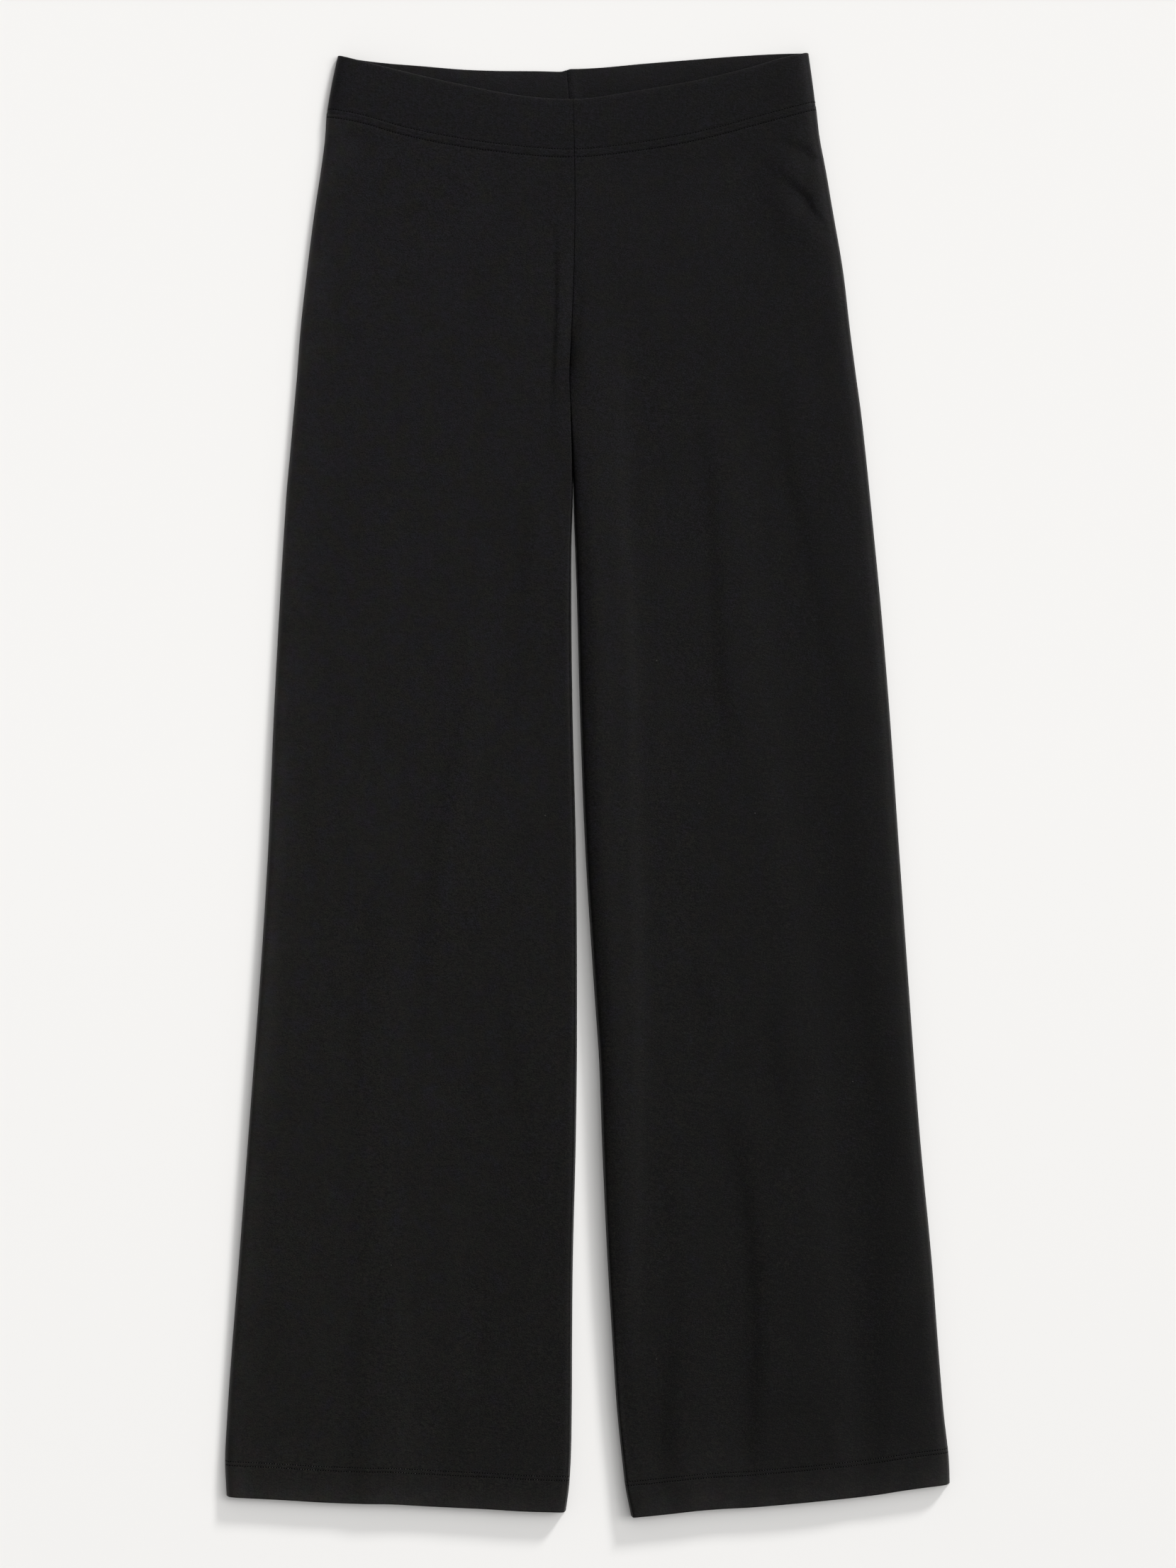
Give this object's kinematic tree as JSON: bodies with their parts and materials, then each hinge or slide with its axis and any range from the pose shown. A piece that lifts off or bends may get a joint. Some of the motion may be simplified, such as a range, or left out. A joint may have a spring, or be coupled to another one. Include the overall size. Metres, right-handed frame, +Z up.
{
  "type": "wide-leg leggings",
  "caption": "Wide-leg leggings in plain knit, laid flat with the front up: wide waistband with curved top edge, centre seams, flaring legs and turned hems.",
  "frame": {"origin": "middle of the laid garment's outline, on the surface that it lies on", "axes": "+X towards the wearer's left side, +Y from the hems to the waist, +Z up through the front"},
  "size_m": [0.5464, 1.1048, 0.0123],
  "materials": {
    "leg_knit": "matt black single jersey with a fine face and a few pale fibres of lint",
    "band_knit": "matt black jersey, folded double"
  },
  "bodies": {
    "root": {"front_leg_right": "leg_knit", "front_leg_left": "leg_knit", "back_leg_right": "leg_knit", "back_leg_left": "leg_knit", "waistband_right": "band_knit", "waistband_left": "band_knit"}
  },
  "joints": []
}
